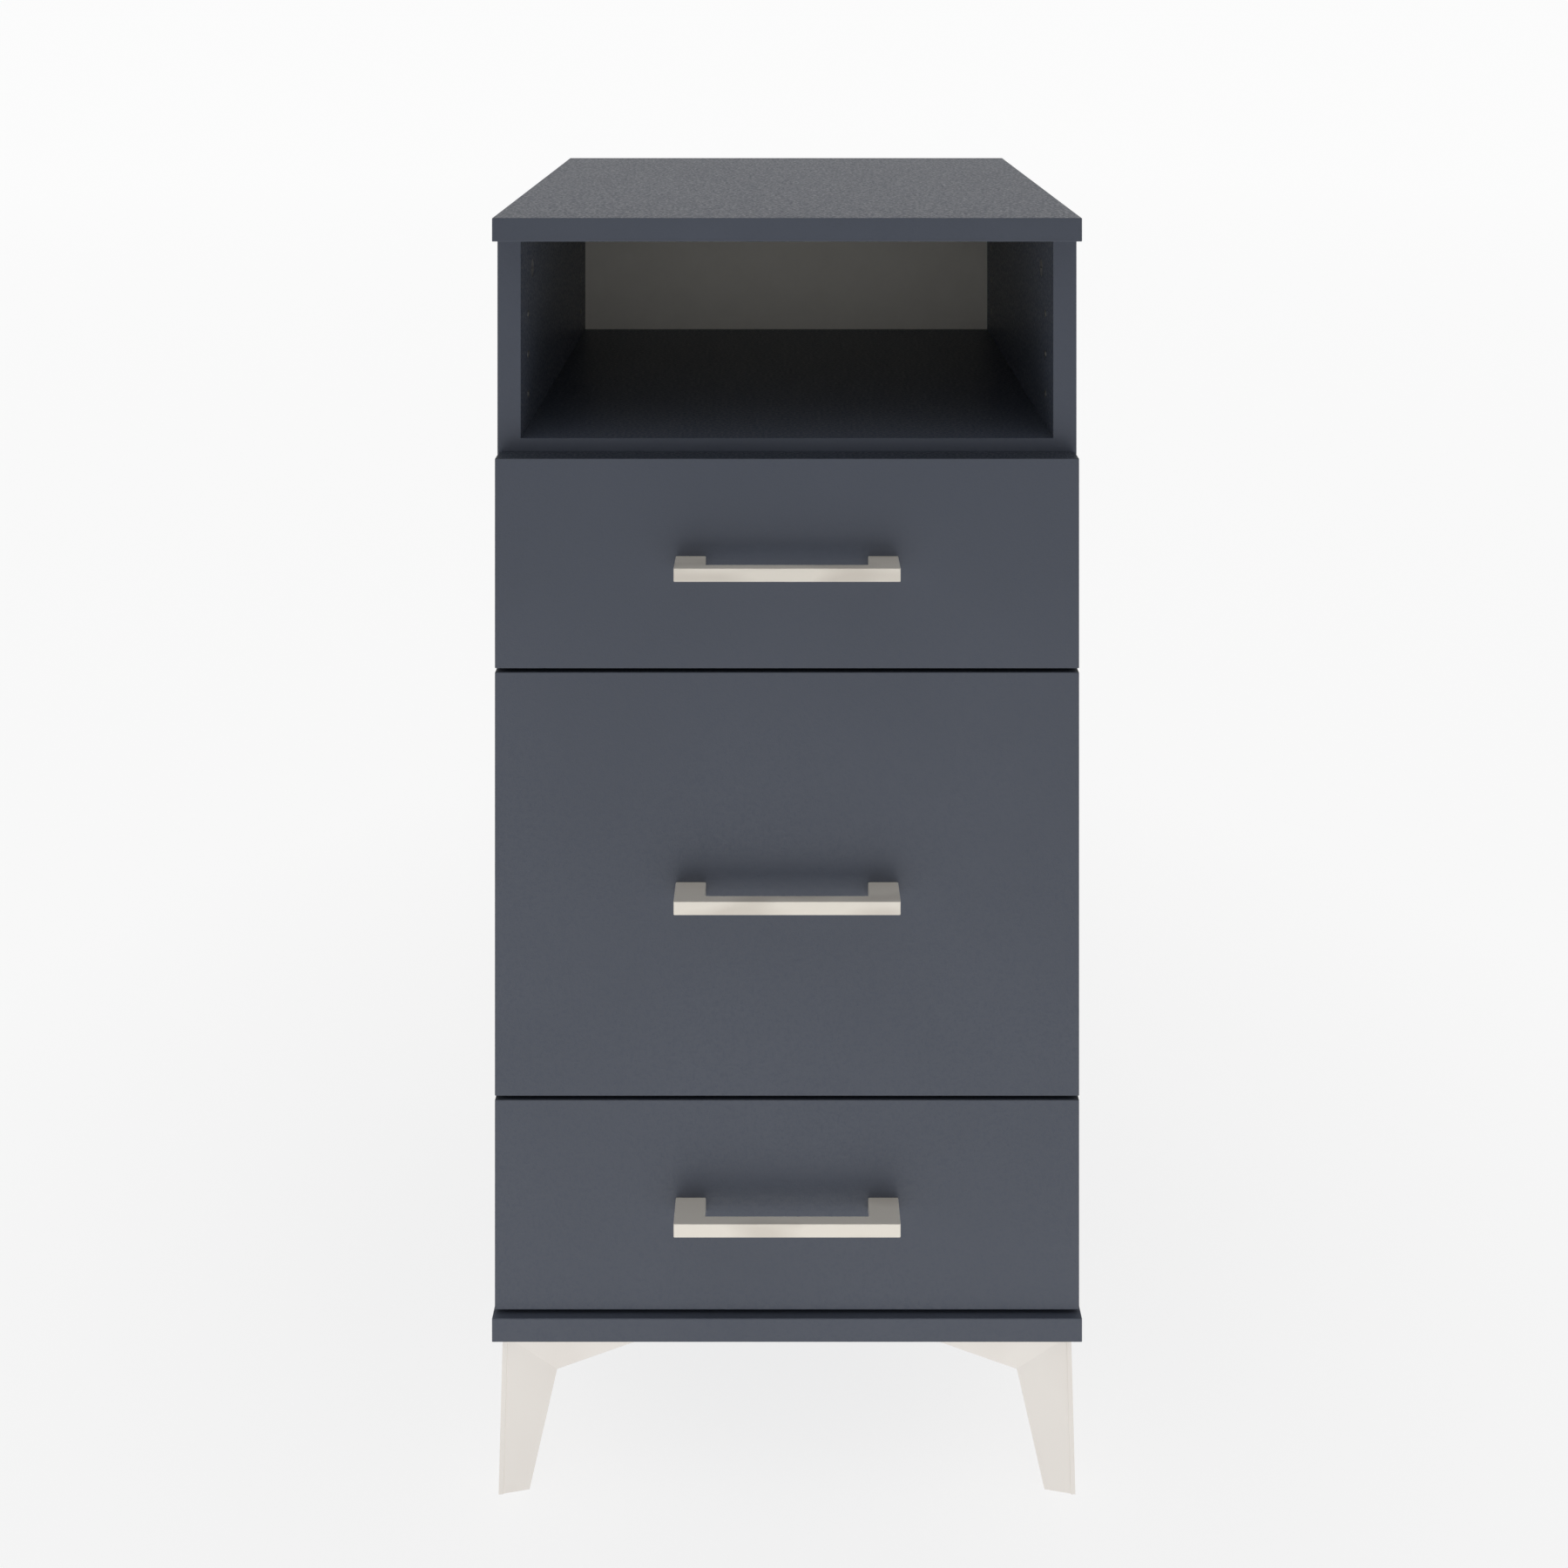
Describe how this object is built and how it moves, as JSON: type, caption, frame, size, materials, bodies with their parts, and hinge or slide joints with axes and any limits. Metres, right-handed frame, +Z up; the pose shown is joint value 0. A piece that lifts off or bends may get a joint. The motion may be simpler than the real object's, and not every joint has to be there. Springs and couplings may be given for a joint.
{
  "type": "nightstand with drawers",
  "caption": "Tall square nightstand: open niche over shallow, deep and shallow drawers on ball slides, flat bar handles, splayed folded-metal corner legs.",
  "frame": {"origin": "on the floor, under the middle of the bounding box (handles included)", "axes": "+Z up, +Y from the drawer fronts to the back, +X to the right as seen from the front"},
  "size_m": [0.45, 0.473, 0.977],
  "materials": {
    "slate_board": "fine-textured slate-grey melamine with matching edge banding",
    "white_hardboard": "smooth lacquered hardboard",
    "white_box_board": "matt white melamine",
    "satin_nickel": "satin nickel, pale and warm",
    "zinc_steel": "zinc plated",
    "zinc_rail": "zinc-plated rolled sheet steel",
    "beech_dowel": "raw beech"
  },
  "bodies": {
    "cabinet": {"top_panel": "slate_board", "base_panel": "slate_board", "left_side_panel": "slate_board", "right_side_panel": "slate_board", "niche_shelf": "slate_board", "back_panel": "white_hardboard", "front_left_leg": "satin_nickel", "front_right_leg": "satin_nickel", "rear_left_leg": "satin_nickel", "rear_right_leg": "satin_nickel", "leg_screws": "zinc_steel", "cam_locks": "zinc_steel", "cam_bolts": "zinc_steel", "dowels": "beech_dowel", "cabinet_rail_screws": "zinc_steel", "lower_left_cabinet_rail": "zinc_rail", "lower_right_cabinet_rail": "zinc_rail", "middle_left_cabinet_rail": "zinc_rail", "middle_right_cabinet_rail": "zinc_rail", "upper_left_cabinet_rail": "zinc_rail", "upper_right_cabinet_rail": "zinc_rail"},
    "lower_drawer": {"lower_drawer_front": "slate_board", "lower_handle": "satin_nickel", "lower_handle_screws": "zinc_steel", "lower_drawer_left_side": "white_box_board", "lower_drawer_right_side": "white_box_board", "lower_drawer_back": "white_box_board", "lower_drawer_bottom": "white_hardboard", "lower_drawer_connectors": "zinc_steel", "lower_drawer_screws": "zinc_steel", "lower_left_drawer_rail": "zinc_rail", "lower_right_drawer_rail": "zinc_rail"},
    "lower_middle_rails": {"lower_left_middle_rail": "zinc_rail", "lower_right_middle_rail": "zinc_rail"},
    "middle_drawer": {"middle_drawer_front": "slate_board", "middle_handle": "satin_nickel", "middle_handle_screws": "zinc_steel", "middle_drawer_left_side": "white_box_board", "middle_drawer_right_side": "white_box_board", "middle_drawer_back": "white_box_board", "middle_drawer_bottom": "white_hardboard", "middle_drawer_connectors": "zinc_steel", "middle_drawer_screws": "zinc_steel", "middle_left_drawer_rail": "zinc_rail", "middle_right_drawer_rail": "zinc_rail"},
    "middle_middle_rails": {"middle_left_middle_rail": "zinc_rail", "middle_right_middle_rail": "zinc_rail"},
    "upper_drawer": {"upper_drawer_front": "slate_board", "upper_handle": "satin_nickel", "upper_handle_screws": "zinc_steel", "upper_drawer_left_side": "white_box_board", "upper_drawer_right_side": "white_box_board", "upper_drawer_back": "white_box_board", "upper_drawer_bottom": "white_hardboard", "upper_drawer_connectors": "zinc_steel", "upper_drawer_screws": "zinc_steel", "upper_left_drawer_rail": "zinc_rail", "upper_right_drawer_rail": "zinc_rail"},
    "upper_middle_rails": {"upper_left_middle_rail": "zinc_rail", "upper_right_middle_rail": "zinc_rail"}
  },
  "joints": [
    {"name": "lower_drawer_slide", "type": "slide", "parent": "cabinet", "child": "lower_drawer", "axis": [0, -1, 0], "range_m": [0, 0.4]},
    {"name": "middle_drawer_slide", "type": "slide", "parent": "cabinet", "child": "middle_drawer", "axis": [0, -1, 0], "range_m": [0, 0.4]},
    {"name": "upper_drawer_slide", "type": "slide", "parent": "cabinet", "child": "upper_drawer", "axis": [0, -1, 0], "range_m": [0, 0.4]},
    {"name": "lower_middle_rails_slide", "type": "slide", "parent": "cabinet", "child": "lower_middle_rails", "axis": [0, -1, 0], "range_m": [0, 0.2]},
    {"name": "middle_middle_rails_slide", "type": "slide", "parent": "cabinet", "child": "middle_middle_rails", "axis": [0, -1, 0], "range_m": [0, 0.2]},
    {"name": "upper_middle_rails_slide", "type": "slide", "parent": "cabinet", "child": "upper_middle_rails", "axis": [0, -1, 0], "range_m": [0, 0.2]}
  ],
  "couplings": [
    {"joint": "lower_middle_rails_slide", "follows": "lower_drawer_slide", "ratio": 0.5},
    {"joint": "middle_middle_rails_slide", "follows": "middle_drawer_slide", "ratio": 0.5},
    {"joint": "upper_middle_rails_slide", "follows": "upper_drawer_slide", "ratio": 0.5}
  ]
}
